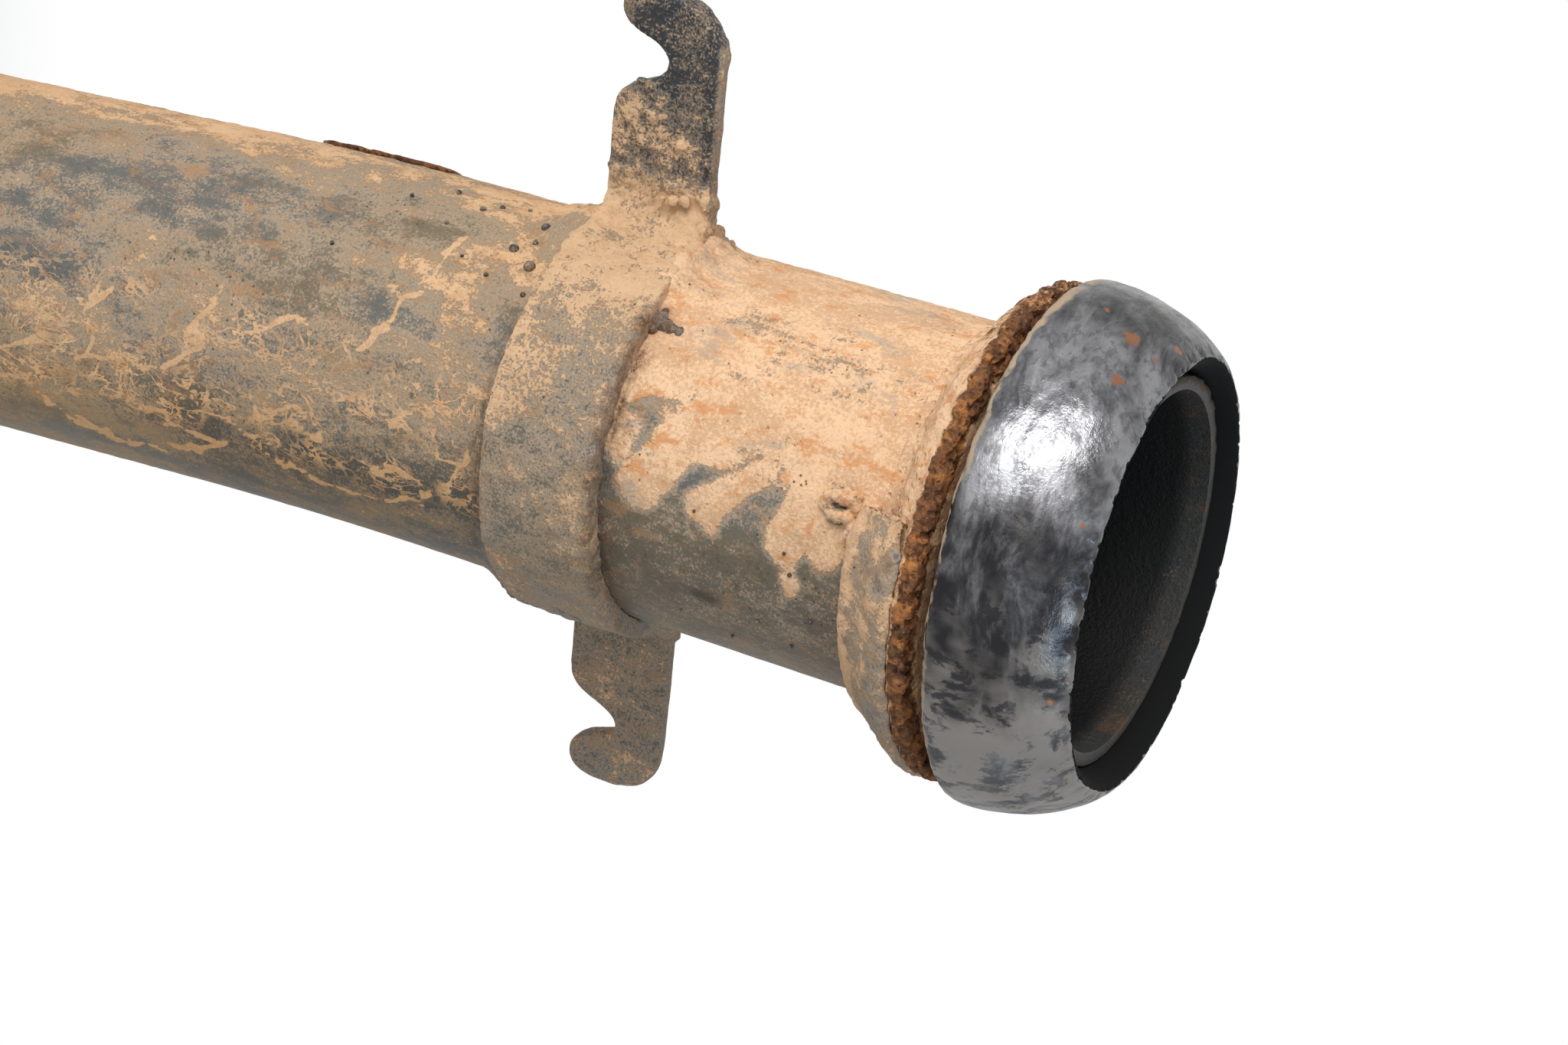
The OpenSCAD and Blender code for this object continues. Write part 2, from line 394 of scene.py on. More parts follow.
# %% The gasket's finish
def gasket_finish(name):
    material, n = new_finish(name)
    smear = n.lumps(5, 6, 0.66, 0.5, (0.45, 0.45, 1))
    fine = n.lumps(1.0, 5, 0.7, 0.2, (0.5, 0.5, 1))
    grit = n.lumps(0.35, 3, 0.6)
    # Painted reflection: the stored tone lightens the metal where the highlight falls and
    # darkens it below, swung by real smears
    smears_and_painted_reflection = n.fade(n.plus(n.kept("tone"), n.swing(smear, 2.4)), 0.1, 0.9)
    scuffs = n.fade(fine, 0.48, 0.62, 0, 0.5)
    # The matte lower side is duller, and painted lighter in flakes as a painted reflection
    # of the floor
    matte = n.kept("matte")
    flaked = n.fade(n.lumps(3.2, 6, 0.7, 0.3, (1, 1, 0.6)), 0.44, 0.52)
    spots = n.fade(n.plus(n.kept("rust"), n.swing(fine, 1.0)), 0.3, 0.7, 0, 0.85)
    dusty = n.fade(n.plus(n.kept("mud"), n.swing(fine, 0.7)), 0.42, 0.70)
    sooty = n.fade(n.plus(n.kept("soot"), n.swing(fine, 0.35)), 0.42, 0.58)
    n.look("Base Color", n.layers(
        (0.028, 0.028, 0.031),
        (smears_and_painted_reflection, (0.27, 0.27, 0.28)),
        (scuffs, (0.040, 0.040, 0.044)),
        (n.times(matte, flaked), (0.25, 0.228, 0.205)),
        (spots, (0.33, 0.13, 0.05)),
        (dusty, (0.38, 0.285, 0.19)),
        (sooty, (0.010, 0.010, 0.010)),
    ))
    dull = n.most(dusty, n.most(sooty, n.times(matte, 0.7)))
    n.look("Specular IOR Level", n.fade(sooty, 0, 1, 0.5, 0.06))
    n.look("Metallic", n.calc("SUBTRACT", 1.0, dull))
    rough = n.fade(n.plus(smear, n.times(fine, 0.6)), 0.65, 0.95, 0.20, 0.42)
    n.look("Roughness", n.most(rough, n.times(dull, 0.85)))
    n.bump(n.plus(fine, n.times(grit, 0.5)), 0.10, 0.7)
    print("finish", name, "with", len(n.tree.nodes), "nodes")
    return material


# %% [markdown]
# ## One recipe, several pieces
# One splash of mud covered all the steel, so the muddy pieces share a recipe
# and differ only in how thick, orange and coarse the mud lies on them. Each
# could have a material of its own, but then a change to the mud would have to
# be made three times. The ring and the patch share the rust in the same way.

# %% Make the finishes
# Numbers: the most film, the orange stain, the grain, and the dullness
mud_on_tube = muddy_finish("muddy_steel", 0.82, 0.8, 0.75, 0.5)
mud_on_bracket = muddy_finish("muddy_bracket", 0.84, 0.45, 1.25, 0.6)
mud_on_collar = muddy_finish("muddy_collar", 0.92, 0.35, 0.8, 0.35)
rust_on_ring = rusty_finish("rusty_ring", 0.8)
rust_on_patch = rusty_finish("rusty_patch", 0.15)
metal_of_gasket = gasket_finish("gasket_metal")

# %% [markdown]
# ## Modelling helpers
# Operators act on whatever is selected, so every step starts by clearing the
# selection and then selects by place. These few functions are the mouse
# clicks of the lesson.

# %% Functions for modelling by operators
NEAR = 0.1  # places closer than this, in mm, count as the same


def start_clean():
    """Leaves edit mode and deselects everything."""
    if bpy.context.object and bpy.context.object.mode != "OBJECT":
        bpy.ops.object.mode_set(mode="OBJECT")
    bpy.ops.object.select_all(action="DESELECT")


def hold(*pieces):
    """Selects only these pieces and makes the first one active."""
    start_clean()
    for piece in pieces:
        piece.select_set(True)
    bpy.context.view_layer.objects.active = pieces[0]


def take(name):
    """Names the primitive just added, puts its place into its mesh, edits it."""
    piece = bpy.context.active_object
    piece.name = piece.data.name = name
    bpy.ops.object.transform_apply()
    bpy.ops.object.mode_set(mode="EDIT")
    return piece


def pick(piece, test):
    """Selects the vertices whose place in mm passes the test."""
    bpy.ops.mesh.select_mode(type="VERT")
    bpy.ops.mesh.select_all(action="DESELECT")
    cage = bmesh.from_edit_mesh(piece.data)
    for v in cage.verts:
        v.select = bool(test(*(v.co / MM)))
    cage.select_flush(True)
    bmesh.update_edit_mesh(piece.data)


def pick_edges(piece, test):
    """Selects the edges whose two ends in mm pass the test together."""
    bpy.ops.mesh.select_mode(type="EDGE")
    bpy.ops.mesh.select_all(action="DESELECT")
    cage = bmesh.from_edit_mesh(piece.data)
    for e in cage.edges:
        e.select = bool(test(e.verts[0].co / MM, e.verts[1].co / MM))
    bmesh.update_edit_mesh(piece.data)


def cut_rings(piece, longer, parts):
    """Cuts every edge that climbs more than so many mm into equal parts."""
    pick_edges(piece, lambda a, b: abs(a.z - b.z) > longer)
    bpy.ops.mesh.subdivide(number_cuts=parts - 1)


def pull(x, y, z):
    """Extrudes what is selected and moves the new part by that many mm."""
    bpy.ops.mesh.extrude_region_move(
        TRANSFORM_OT_translate={"value": (x * MM, y * MM, z * MM)}
    )


def shrink(factor, height):
    """Scales what is selected across Z, about the axis at that height in mm."""
    bpy.ops.transform.resize(
        value=(factor, factor, 1), center_override=(0, 0, height * MM)
    )


def close_up(gap=0.01):
    """Merges doubles in the whole piece and turns its faces outwards."""
    bpy.ops.mesh.select_all(action="SELECT")
    bpy.ops.mesh.remove_doubles(threshold=gap * MM)
    bpy.ops.mesh.normals_make_consistent(inside=False)


def apply_modifier(piece, kind, **settings):
    """Adds a modifier and applies it at once."""
    hold(piece)
    modifier = piece.modifiers.new(kind.lower(), kind)
    for key, value in settings.items():
        setattr(modifier, key, value)
    bpy.ops.object.modifier_apply(modifier=modifier.name)


def join(pieces, name):
    """Joins several objects into the first one and names it."""
    hold(*pieces)
    bpy.ops.object.join()
    pieces[0].name = pieces[0].data.name = name
    return pieces[0]


# %% [markdown]
# ## Helpers that work on a whole skin at once
# Mud and rust follow rules such as "thick above this line, frayed by noise".
# A rule like that is one line of arithmetic on a table with a row for each
# vertex. Its result can lift the skin, be stored for a finish, or do both.

# %% Functions for numbers on the skin
FLANK = 242.5
MM_PER_DEGREE = TUBE_R * math.pi / 180
SMOOTH_UP_TO = math.radians(40)


def places(piece):
    """Every vertex's place in mm, as a table with three columns."""
    if piece.mode == "EDIT":
        bpy.ops.object.mode_set(mode="OBJECT")
    flat = np.zeros(len(piece.data.vertices) * 3)
    piece.data.vertices.foreach_get("co", flat)
    return flat.reshape(-1, 3) / MM


def skin(piece, heading=0.0):
    """Places, distances from the axis, degrees from the muddy flank, heights."""
    points = places(piece)
    x, y, z = points.T
    compass = np.degrees(np.arctan2(y, x)) + heading
    return points, np.hypot(x, y), (compass - FLANK + 180) % 360 - 180, z


def raise_skin(piece, weights, depth):
    """Moves the skin out by depth in mm times each vertex's weight, 0 to 1."""
    group = piece.vertex_groups.new(name="skin")
    for number, weight in enumerate(weights):
        if weight > 0.002:
            group.add([number], float(min(weight, 1)), "REPLACE")
    apply_modifier(
        piece, "DISPLACE", strength=depth * MM, mid_level=0, vertex_group="skin"
    )
    piece.vertex_groups.remove(piece.vertex_groups["skin"])


def keep(piece, **numbers):
    """Stores numbers on the vertices, which a finish can read by their names."""
    for name, values in numbers.items():
        layer = piece.data.attributes.new(name, "FLOAT", "POINT")
        layer.data.foreach_set("value", np.asarray(values, dtype=np.float32))
    print(piece.name, "keeps", ", ".join(numbers))


def clouds(points, size, octaves=4, seed=0):
    """Fractal noise about 0, for many places in mm at once."""
    shift = Vector((seed * 17.3, seed * 5.1, seed * 9.7))
    return np.array([
        noise.fractal(Vector(p) / size + shift, 0.9, 2.1, octaves) for p in points
    ])


def step(value, low, high):
    """Smooth rise from 0 at low to 1 at high. High may be the lower number."""
    t = np.clip((value - low) / (high - low), 0, 1)
    return t * t * (3 - 2 * t)


def hump(value, at, width):
    """1 at one place, falling like a bell to both sides."""
    return np.exp(-((value - at) / width) ** 2)


def share(value, most=1):
    """Keeps numbers between 0 and the most they may be."""
    return np.clip(value, 0, most)


def put_on(piece, where, material, replaced):
    """Moves a finished piece to its place and hands it to the frame."""
    hold(piece)
    piece.matrix_world = where
    bpy.ops.object.transform_apply()
    bpy.ops.object.shade_smooth_by_angle(angle=SMOOTH_UP_TO)
    piece.data.materials.clear()
    piece.data.materials.append(material)
    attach(piece, "root")
    if replaced:
        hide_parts(replaced)
    triangles = sum(len(f.vertices) - 2 for f in piece.data.polygons)
    print(piece.name, triangles, "triangles")


# %% [markdown]
# ## The tube: a long wall with dense rings
# The real tube is rolled sheet, 44.45 mm across, with a slight bend. It could
# be swept along a curve, but then its mud would be hard to map. So it is made
# straight: a cylinder wall, cut into fine rings where it is seen close up, and
# coarser ones towards the cut end. The bore is one more extrusion back up the
# inside, with a few close rings at the mouth, where its soot and dark colour are
# cut, painted lighter as a lit strip. The bend comes last.

# %% Straight tube
SIDES = 256
BEND_RADIUS = 800
bend_run = BEND_RADIUS * math.tan(BEND / 2)
bend_arc = BEND_RADIUS * BEND
straight_len = INLET_LEN + OUTLET_LEN - 2 * bend_run + bend_arc
middle = INLET_LEN - bend_run + bend_arc / 2
FINE_FROM = 125
# One cut makes at most a hundred rings, so 270 of them take two rounds
FINE_ROUNDS = (27, 10)
COARSE_RINGS = 50
BORE_RINGS = 26
MOUTH_RUN = 12
MOUTH_RINGS = 6
bore_top = straight_len - MOUTH_RUN

start_clean()
bpy.ops.mesh.primitive_cylinder_add(
    vertices=SIDES,
    radius=TUBE_R * MM,
    depth=(straight_len - FINE_FROM) * MM,
    end_fill_type="NOTHING",
    location=(0, 0, (straight_len + FINE_FROM) / 2 * MM),
)
tube = take("muddy_tube")
for parts in FINE_ROUNDS:
    cut_rings(tube, 1, parts)
pick(tube, lambda x, y, z: z < FINE_FROM + NEAR)
pull(0, 0, -FINE_FROM)
cut_rings(tube, 10, COARSE_RINGS)
pick(tube, lambda x, y, z: z < NEAR)
pull(0, 0, 0)
shrink(BORE_R / TUBE_R, 0)
pull(0, 0, bore_top)
cut_rings(tube, 20, BORE_RINGS)
pick(tube, lambda x, y, z: abs(z - bore_top) < NEAR and math.hypot(x, y) < TUBE_R - 0.3)
pull(0, 0, MOUTH_RUN)
cut_rings(tube, MOUTH_RUN - NEAR, MOUTH_RINGS)
pick(tube, lambda x, y, z: z > straight_len - NEAR and math.hypot(x, y) > TUBE_R - NEAR)
pull(0, 0, 0)
shrink(BORE_R / TUBE_R, straight_len)
close_up()
print("straight tube", round(straight_len, 1), "mm,", len(tube.data.vertices), "vertices")

# %% [markdown]
# ## Where the mud lies
# One flank of the pipe took the splashes. On it the mud is thick on the upper
# side, ends in drips and tide lines, and leaves bare steel below. A place on
# the pipe is given by its height on the outlet and by how far round it lies
# from the middle of that flank, in degrees: minus is the muddy upper side.

# %% Drips, patches and lines of the mud
# Drips: start height and angle, end height and angle, half width in mm
DRIPS = [
    (55.0, 0, 51.0, 17, 3.0), (65.5, 3, 58.5, 18, 1.7), (61.0, 13, 60.3, 23, 0.9),
    (71.5, 4, 69.4, 22, 2.3), (69.8, 20, 70.5, 34, 0.9), (74.5, 6, 74.0, 20, 2.4),
    (48.0, 2, 47.4, 9, 2.0),
]
# Bare or thinly covered patches: height, angle, half length, half width, amount
BARE = [
    (5, -3, 9, 3.2, 0.22), (-28, -50, 6, 1.8, 0.36), (-8, -38, 22, 3.5, 0.06),
    (-37, 4, 8, 4, 0.26), (13, -6, 0.6, 3.6, 0.30), (20.5, -6, 1.2, 1.6, 0.36),
    (14, 36, 14, 4, 0.22), (-5, -38, 14, 5, 0.06), (-14, 34, 9, 3.5, 0.2),
    (51.5, 6, 3.5, 1.3, 0.34), (48.5, 1, 1.0, 3.0, 0.24), (57.5, -36, 1.6, 4.5, 0.22),
    (57, -20, 4.5, 1.0, 0.22), (61.9, -30, 1.0, 2.6, 0.22), (60, -50, 6, 1.2, 0.18),
    (72, -48, 8, 1.2, 0.15), (-33, -30, 12, 5, 0.12), (26, -28, 2.5, 3, 0.25),
]
# Tan lumps and spills: height, angle, half length, half width, amount
SPILLS = [
    (-14.3, -16, 3.0, 1.2, 0.30), (-40, -7, 4.5, 0.8, 0.36),
    (14.6, -23, 3.0, 1.4, 0.30), (9, -23, 2.5, 0.9, 0.25), (-18, 27, 9, 1.6, 0.28),
    (-11, 14, 3.5, 2.6, 0.30), (-33, 12, 10, 2.0, 0.22), (-24, 19, 9, 1.8, 0.30),
    (-8, 2, 8, 3, 0.22), (4, 3, 6, 3, 0.20), (22, -10, 6, 5, 0.24),
    (24, -38, 6, 6, 0.25), (18, -22, 6, 4, 0.20), (25, 14, 5, 2, 0.18),
]
# Tide lines before the bracket: corners as height and angle
TIDE_LINES = [
    [(-46, 29), (-39.9, 32.3), (-33.5, 27), (-28.2, 29.1), (-22.1, 25.7), (-16.9, 26.9),
     (-13.2, 27.6), (-9.6, 33.4), (-6.2, 37.8), (-1.4, 42.1), (2.2, 49.9), (6.1, 53.7),
     (10.6, 51.2), (16.3, 50.9), (22.1, 48.2)],
    [(-26, 7.7), (-25.6, 18.4), (-25.9, 27.5)],
    [(-28.7, 11), (-27.3, 14.8), (-23.8, 7)],
    [(-8.8, -2), (-9.4, 4.6), (-11.3, 10.5), (-9.8, 17.2), (-14.7, 25.4)],
    [(-2.3, 27.1), (-0.9, 31.9), (2, 31.4), (4.7, 36.2), (8.2, 35.1), (7.6, 30.4),
     (4.1, 28.1), (0.6, 29.1)],
    [(16.5, 20.7), (18, 24.3), (20.4, 16.5), (22.3, 15.1), (24, 21.5), (26.2, 27.7),
     (28.5, 27.6), (26.7, 22.6)],
    [(15.7, 39.5), (19.8, 40.6), (22.3, 45), (23.9, 41.6)],
    [(-21.7, 37.4), (-18.2, 40.1), (-15.5, 43.6)],
    [(-48, 44), (-40.8, 43.1), (-36.1, 43.2), (-33.2, 51.1), (-30, 59.9), (-25.3, 59.9),
     (-18, 63)],
    [(-15.7, 45.8), (-12.3, 48.9), (-7.1, 48.2), (-11.6, 54.9), (-16.1, 54.9)],
    [(18.1, -40.5), (17.8, -31.6), (17.9, -24), (17.3, -16.7), (14.6, -13.1)],
    [(12.2, -21.5), (14.3, -14.5), (14.4, -6.6), (13.9, -0.2), (12.4, 3.9)],
    [(5.4, -2.1), (0.4, 2.8), (-3.2, 8.3), (-7, 6.2)],
]
TIDE_HALF_WIDTH = 0.32
tide_strokes = [
    (*a, *b, TIDE_HALF_WIDTH) for line in TIDE_LINES for a, b in zip(line, line[1:])
]
print(len(DRIPS), "drips and", len(tide_strokes), "strokes of tide lines")

# %% [markdown]
# ## Spreading the mud by rule
# The mud could be painted by hand on the unrolled wall. Here each vertex works
# out its own share instead: a ragged edge from noise, then the drawn drips and
# lines, then soft oval spots. That stays sharp close up and is easy to change.

# %% Functions that spread the mud
def blobs(height, round_mm, spots):
    """Sum of soft oval spots over the unrolled tube."""
    total = np.zeros(len(height))
    for at, angle, half_len, half_wide, amount in spots:
        far = ((height - at) / half_len) ** 2
        far += ((round_mm - angle * MM_PER_DEGREE) / half_wide) ** 2
        total += amount * np.exp(-far)
    return total


def strokes(height, round_mm, drawn, soft_edge):
    """1 on the drawn strokes, falling softly to 0 at their edges."""
    best = np.zeros(len(height))
    for h0, a0, h1, a1, half in drawn:
        start = np.array([h0, a0 * MM_PER_DEGREE])
        run = np.array([h1, a1 * MM_PER_DEGREE]) - start
        offset = np.stack([height, round_mm], 1) - start
        along = share(offset @ run / (run @ run))
        away = np.linalg.norm(offset - along[:, None] * run, axis=1)
        best = np.maximum(best, step(away, half + soft_edge, half - 0.7 * soft_edge))
    return best


def mud_map(points, height, angle):
    """How much mud lies at each place, about 0 for bare and 1 for covered."""
    round_mm = angle * MM_PER_DEGREE
    rolled = np.stack([round_mm, points[:, 2] * 0.5, np.zeros(len(height))], 1)
    soft = clouds(points, 9, 4, 1)
    veins = clouds(rolled, 6, 5, 2)
    streaks = clouds(rolled * np.array([1, 0.45, 1]), 4.5, 5, 9)
    wander = clouds(points, 8, 4, 3)
    # Past the bracket: covered above a ragged edge, bare below it
    edge = 4 + 12 * wander
    right = 0.98 * step(angle, edge + 9, edge - 7) + 0.10 * soft + 0.16 * veins
    drips = strokes(height, round_mm + 0.5 * wander, DRIPS, 1.0)
    right = np.maximum(right, drips + 0.06 * veins)
    right += 0.10 * step(angle, 55, 85) - 0.02
    # Before the bracket: a speckled film, thicker on top, thin below
    left = 0.23 + 0.06 * soft + 0.12 * veins + 0.22 * streaks
    left += 0.34 * step(angle, -44, -68) + 0.08 * step(angle, -12, -34)
    left -= 0.10 * step(angle, 26, 46)
    left += 0.10 * step(height, 12, 26) * step(angle, 20, 0)
    past = step(height, 36, 44)
    mud = left * (1 - past) + right * past
    mud += blobs(height, round_mm, SPILLS) - blobs(height, round_mm, BARE)
    far_side = step(np.abs(angle), 95, 130)
    back_side = 0.38 + 0.20 * soft + 0.15 * veins
    return share(mud * (1 - far_side) + back_side * far_side, 1.1)


# %% Lay the mud on the tube
spots, radial, angle, up = skin(tube, math.degrees(HEADING))
outer = radial > TUBE_R - NEAR
rise = up - middle
side = np.abs(angle)
round_mm = angle * MM_PER_DEGREE


def on_outside(values):
    """Numbers of the outer skin, with 0 for the bore."""
    every = np.zeros(len(spots))
    every[outer] = values
    return every


mud = on_outside(mud_map(spots[outer], rise[outer], angle[outer]))
wobble = 1.6 * clouds(spots[outer], 5, 4, 4)
lines = on_outside(
    strokes(rise[outer] + wobble, round_mm[outer] - wobble, tide_strokes, 0.55)
)
mud += 0.12 * lines
print("mud covers", round(float((mud[outer] > 0.5).mean()), 2), "of the outside")

# %% [markdown]
# ## Relief of the mud
# The crust is thin with a rough top, and it piles up to a slope against both
# edges of the bracket's band, highest at the root of the upper ear. The number
# stored for the finish and the weight that lifts the skin are the same one, so
# that colour and shape agree.

# %% Raise the crust and the slopes at the band
BAND_LOW, BAND_HIGH = span("hook_bracket")[0][2], span("hook_bracket")[1][2]
CRUST_DEPTH = 0.20
SLOPE_DEPTH = 2.6
lumpy = on_outside(clouds(spots[outer], 2.0, 4, 5))
ripple = on_outside(clouds(spots[outer], 6.0, 3, 6))
wavy = 1.6 * ripple
crust = step(mud, 0.30, 0.75) * (0.55 + 0.9 * lumpy) + 0.25 * lumpy
# The slope below the band reaches further down away from the flank's middle
upper_reach = 2 + 9.0 * step(side, 30, 78)
lower_reach = 1.5 + 5 * step(side, 40, 85)
low_reach = np.where(angle < 0, upper_reach, lower_reach)
low_slope = step(rise + wavy, BAND_LOW - low_reach, BAND_LOW + 1.0)
low_slope *= 0.20 + 0.70 * step(side, 20, 75)
# The slope above the band lies only at the root of the upper ear
high_slope = share(1 - (rise + 0.4 * wavy - BAND_HIGH) / 4.6) ** 2
high_slope *= step(angle, -26, -44) * step(side, 84, 62)
slope = np.where(rise < BAND_HIGH - 5, low_slope, high_slope) * step(side, 122, 98)
raise_skin(tube, np.where(outer, share(crust), 0), CRUST_DEPTH)
raise_skin(tube, np.where(outer, slope * (0.94 + 0.35 * lumpy), 0), SLOPE_DEPTH)
print("the highest slope is", round(float(slope.max()) * SLOPE_DEPTH, 1), "mm")

# %% [markdown]
# ## What else the tube's finish needs
# Below the flank's middle the steel is darker, with an olive cast before the
# bracket. The two seams along the band get painted shade. Soot blackens the
# bore and marks one chip on the outside; near the mouth the bore's soot and dark
# colour are cut, painted lighter as a lit strip on its far wall. Each of these
# is one more number on the skin.

# %% Store the tube's numbers for the finish
# Painted light: near the mouth the bore is painted lighter, standing in for the lit strip
# on its far wall
bore_end_painted_lighter = step(rise, 98.2, 100.2)
before_band = step(rise, BAND_LOW + 2, BAND_LOW)
low_flank = 0.72 * step(angle, 22, 46) * step(rise, -34, -4) * before_band
low_flank += 0.28 * step(angle, 20, 42) * (1 - before_band)
olive = (0.25 + 0.75 * step(angle, 15, 50)) * before_band
# Painted shade: dark bands in the seams along both edges of the band
high_seam_shade = 0.8 * hump(rise, BAND_HIGH + 0.4, 0.42) * step(angle, -32, -26)
low_seam_shade = 0.7 * hump(rise, BAND_LOW - 1.5, 0.8) * step(angle, -30, -5)
crease = (high_seam_shade + low_seam_shade) * step(angle, 66, 50) * (0.8 + lumpy)
stain = hump(rise, BAND_HIGH + 1.2, 1.1) * step(side, 100, 80) * (0.14 + lumpy)
tide = step(angle, -8, 6) * step(angle, 54, 40) * step(rise, 36, 30)
chip = blobs(rise, round_mm, [(59.6, 48, 1.7, 0.8, 1.6)])
# Near the mouth the bore's soot and dark colour are cut: painted light
bore_soot = step(up, 8, 30) * (1 - 0.5 * bore_end_painted_lighter)
soot = np.where(outer, share(chip, 0.75), bore_soot)
buried = slope * step(angle, 35, -5)
keep(
    tube,
    mud=np.where(outer, np.maximum(mud, 0.72 * buried), -0.4),
    dark=np.where(outer, low_flank, 0.9 - 0.5 * bore_end_painted_lighter),
    olive=olive * outer,
    crease=share(crease, 0.9) * outer,
    rust=share(stain, 0.6) * outer,
    lines=lines,
    tide=tide * share(0.55 + 1.2 * ripple) * outer,
    wiped=step(rise, 40, 48) * outer,
    soot=np.where(outer & (rise > OUTLET_LEN - 4), 1.0, soot),
)

# %% [markdown]
# ## Bend the tube
# A bend can be made like a hinge repeated: rotate everything above a point by
# a small angle, then go a little lower and do it again. Starting from the top
# keeps each hinge point on the straight axis below.

# %% Bend and place the tube
HINGES = 12
hold(tube)
bpy.ops.object.mode_set(mode="EDIT")
for hinge in reversed(range(HINGES)):
    height = middle + bend_arc * ((hinge + 0.5) / HINGES - 0.5)
    pick(tube, lambda x, y, z: z > height)
    bpy.ops.transform.rotate(
        value=-BEND / HINGES, orient_axis="Y", center_override=(0, 0, height * MM)
    )
bpy.ops.object.mode_set(mode="OBJECT")
put_on(tube, Matrix.Rotation(HEADING, 4, "Z"), mud_on_tube, "tube")
rim = places(tube)
reach = rim @ np.array(out_axis)
rim = rim[reach > max(reach) - 0.5].mean(0)
print("mouth of the bent tube is off by", (rim - np.array(mouth) / MM).round(2), "mm")

# %% [markdown]
# ## Drawing an outline by hand
# A cut sheet is drawn the way one draws with a mouse: a plane is merged to one
# point, and that point is extruded from corner to corner. The same walk makes
# the profiles that are turned into rings.

# %% Functions that draw and turn outlines
def walk(name, corners, closed=True):
    """Draws a line through corners given as x, y, z in mm and leaves it selected."""
    start_clean()
    bpy.ops.mesh.primitive_plane_add(size=MM)
    line = take(name)
    bpy.ops.mesh.select_mode(type="VERT")
    bpy.ops.mesh.merge(type="CENTER")
    bpy.ops.transform.translate(value=Vector(corners[0]) * MM)
    for a, b in zip(corners, corners[1:]):
        bpy.ops.mesh.extrude_vertices_move(
            TRANSFORM_OT_translate={"value": (Vector(b) - Vector(a)) * MM}
        )
    bpy.ops.mesh.select_all(action="SELECT")
    if closed:
        bpy.ops.mesh.edge_face_add()
    return line


def turn(name, profile, steps, degrees=360, start=0):
    """Turns a closed profile of r, z in mm about the Z axis."""
    ring = walk(name, [(r, 0, z) for r, z in profile])
    bpy.ops.transform.rotate(
        value=-math.radians(start), orient_axis="Z", center_override=(0, 0, 0)
    )
    if degrees == 360:
        bpy.ops.mesh.delete(type="ONLY_FACE")
        bpy.ops.mesh.select_all(action="SELECT")
    bpy.ops.mesh.spin(
        steps=steps, angle=-math.radians(degrees), center=(0, 0, 0), axis=(0, 0, 1)
    )
    close_up()
    bpy.ops.object.mode_set(mode="OBJECT")
    return ring


def even_skin(piece, size, smooth):
    """Covers a piece, and all that is joined in it, with small even faces."""
    apply_modifier(piece, "REMESH", mode="VOXEL", voxel_size=size * MM)
    apply_modifier(piece, "SMOOTH", factor=0.5, iterations=smooth)
    print(piece.name, "skin", len(piece.data.vertices), "vertices")


# %% [markdown]
# ## The saddle bracket: one strip and two cut ears
# The real bracket is one strip of 2.4 mm sheet that hugs the muddy flank and
# bends out at both ends. So its cross section is drawn once as a rectangle at
# the root of one ear and spun three times: round the first bend, round the
# tube, and round the other bend. Last, the band's two upper corners are moved
# down a little, and the sheet near them follows softly.

# %% Strip round the tube
SHEET = 2.4
SEAT_R = TUBE_R + 0.05
EAR_FACE = 0.3
BEND_IN = 4.2
bend_y = EAR_FACE - BEND_IN
bend_x = math.sqrt((SEAT_R + SHEET + BEND_IN) ** 2 - bend_y ** 2)
turn_out = math.pi / 2 - math.atan2(-bend_y, bend_x)

strip = walk("bracket", [
    (bend_x, EAR_FACE, BAND_LOW),
    (bend_x, EAR_FACE + SHEET, BAND_LOW),
    (bend_x, EAR_FACE + SHEET, BAND_HIGH),
    (bend_x, EAR_FACE, BAND_HIGH),
])
for steps, turned_by, x, y in (
    (10, -turn_out, bend_x, bend_y),
    (72, 2 * turn_out, 0, 0),
    (10, -turn_out, -bend_x, bend_y),
):
    bpy.ops.mesh.spin(
        steps=steps, angle=turned_by, center=(x * MM, y * MM, 0), axis=(0, 0, 1)
    )
close_up()
# Each upper corner: its side, where it starts, how far down it goes, how softly
for way, beyond, drop, softness in ((1, 25, 1.5, 12), (-1, 27, 0.7, 8)):
    pick(strip, lambda x, y, z: way * x > beyond and z > BAND_HIGH - NEAR)
    bpy.ops.transform.translate(
        value=(0, 0, -drop * MM), use_proportional_edit=True,
        proportional_edit_falloff="SMOOTH", proportional_size=softness * MM,
    )
bpy.ops.object.mode_set(mode="OBJECT")
print("strip box, mm:", places(strip).min(0).round(1), places(strip).max(0).round(1))

# %% [markdown]
# ## The two ears
# Each ear is a flat hook that holds a spring: a shoulder, a deep notch for the
# wire, and a rounded finger. The two were cut by a worn tool, so neither quite
# matches the other: they are drawn corner by corner. An outline is given as
# height on the outlet and reach from the tube's skin.

